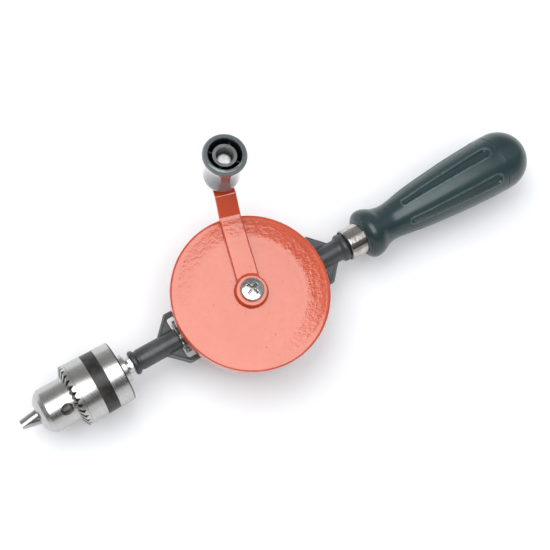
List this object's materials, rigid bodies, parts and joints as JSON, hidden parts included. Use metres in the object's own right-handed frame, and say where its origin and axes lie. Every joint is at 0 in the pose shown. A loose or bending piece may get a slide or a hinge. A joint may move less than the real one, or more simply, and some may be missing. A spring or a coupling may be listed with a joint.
{
  "type": "hand drill",
  "caption": "Hand drill with a crank wheel, bevel pinions, a keyed three-jaw chuck on a cast frame and a moulded handle.",
  "frame": {"origin": "on the spindle's axis, at the mouth of the closed chuck jaws", "axes": "+X runs along the spindle from the chuck to the handle, +Z points from the frame to the crank wheel"},
  "size_m": [0.3238, 0.1168, 0.0728],
  "materials": {
    "frame_paint": "satin slate grey enamel over a rough casting",
    "wheel_red": "glossy orange-red enamel",
    "arm_red": "glossy orange-red enamel",
    "chuck_steel": "fine turned satin",
    "jaw_steel": "ground and hardened",
    "gear_steel": "machined, lightly oiled",
    "bright_steel": "zinc plated",
    "ferrule_nickel": "nickel plated",
    "handle_plastic": "satin dark green-grey",
    "knob_plastic": "glossy dark grey"
  },
  "bodies": {
    "frame": {"frame_casting": "frame_paint", "thrust_ball": "bright_steel", "idler_axle": "gear_steel", "idler_clip": "bright_steel", "ferrule": "ferrule_nickel", "handle_body": "handle_plastic", "handle_bolt": "bright_steel", "handle_bolt_washer": "bright_steel", "handle_end_cap": "handle_plastic"},
    "crank": {"crank_wheel": "wheel_red", "wheel_axle": "gear_steel", "axle_washer": "bright_steel", "axle_clip": "bright_steel", "crank_arm": "arm_red", "hub_screw": "bright_steel", "knob_rivet": "bright_steel"},
    "knob": {"knob": "knob_plastic"},
    "spindle": {"spindle": "gear_steel", "pinion": "gear_steel", "pinion_pin": "bright_steel", "pinion_washer": "gear_steel", "chuck_body": "chuck_steel"},
    "sleeve": {"chuck_sleeve": "chuck_steel", "chuck_nut": "gear_steel"},
    "jaw_1": {"chuck_jaw_1": "jaw_steel"},
    "jaw_2": {"chuck_jaw_2": "jaw_steel"},
    "jaw_3": {"chuck_jaw_3": "jaw_steel"},
    "idler": {"idler_pinion": "gear_steel"}
  },
  "joints": [
    {"name": "crank_turn", "type": "hinge", "parent": "frame", "child": "crank", "pos_m": [0.1354, 0, 0], "axis": [0, 0, 1], "continuous": true},
    {"name": "knob_spin", "type": "hinge", "parent": "crank", "child": "knob", "pos_m": [0.15155, 0.06069, 0.02428], "axis": [0.0144, 0.0539, 0.9984], "continuous": true},
    {"name": "spindle_turn", "type": "hinge", "parent": "frame", "child": "spindle", "pos_m": [0.08, 0, 0], "axis": [1, 0, 0], "continuous": true},
    {"name": "idler_turn", "type": "hinge", "parent": "frame", "child": "idler", "pos_m": [0.175, 0, 0], "axis": [1, 0, 0], "continuous": true},
    {"name": "sleeve_turn", "type": "hinge", "parent": "spindle", "child": "sleeve", "pos_m": [0.04, 0, 0], "axis": [1, 0, 0], "range_deg": [0, 3473]},
    {"name": "jaw_1_slide", "type": "slide", "parent": "spindle", "child": "jaw_1", "axis": [0.9781, 0.104, 0.1801], "range_m": [0, 0.0193]},
    {"name": "jaw_2_slide", "type": "slide", "parent": "spindle", "child": "jaw_2", "axis": [0.9781, -0.2079, 0], "range_m": [0, 0.0193]},
    {"name": "jaw_3_slide", "type": "slide", "parent": "spindle", "child": "jaw_3", "axis": [0.9781, 0.104, -0.1801], "range_m": [0, 0.0193]}
  ],
  "couplings": [
    {"joint": "spindle_turn", "follows": "crank_turn", "ratio": 5},
    {"joint": "idler_turn", "follows": "crank_turn", "ratio": -5},
    {"joint": "jaw_1_slide", "follows": "sleeve_turn", "m_per_rad": 0.00031831},
    {"joint": "jaw_2_slide", "follows": "sleeve_turn", "m_per_rad": 0.00031831},
    {"joint": "jaw_3_slide", "follows": "sleeve_turn", "m_per_rad": 0.00031831}
  ]
}
